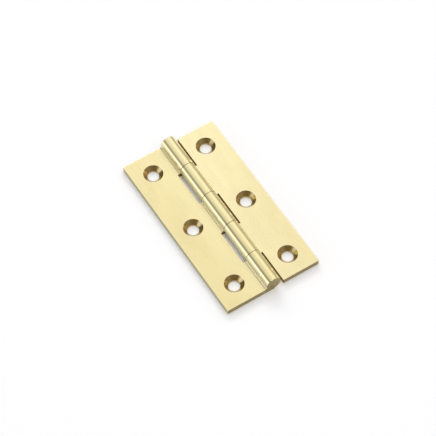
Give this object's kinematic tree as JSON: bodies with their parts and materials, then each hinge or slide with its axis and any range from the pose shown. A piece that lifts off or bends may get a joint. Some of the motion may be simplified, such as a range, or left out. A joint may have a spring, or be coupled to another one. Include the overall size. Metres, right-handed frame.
{
  "type": "cabinet butt hinge",
  "caption": "Solid drawn brass cabinet butt hinge lying open, with countersunk leaves, interleaved barrel knuckles and a flush fixed pin.",
  "frame": {"origin": "on the plane of the leaves' backs, under the middle of the barrel", "axes": "+Y along the pin, +Z out of the countersunk faces, +X from the pin towards the free edge of the leaf with two knuckles"},
  "size_m": [0.041, 0.076, 0.0069],
  "materials": {
    "leaf_brass": "polished and lacquered, with fine draw lines along the leaves",
    "pin_brass": "drawn wire, end faces filed flush"
  },
  "bodies": {
    "frame_side": {"three_knuckle_leaf": "leaf_brass", "hinge_pin": "pin_brass"},
    "door_side": {"two_knuckle_leaf": "leaf_brass"}
  },
  "joints": [
    {"name": "leaf_swing", "type": "hinge", "parent": "frame_side", "child": "door_side", "pos_m": [0, 0, 0.0038], "axis": [0, -1, 0], "range_deg": [-95, 185]}
  ]
}
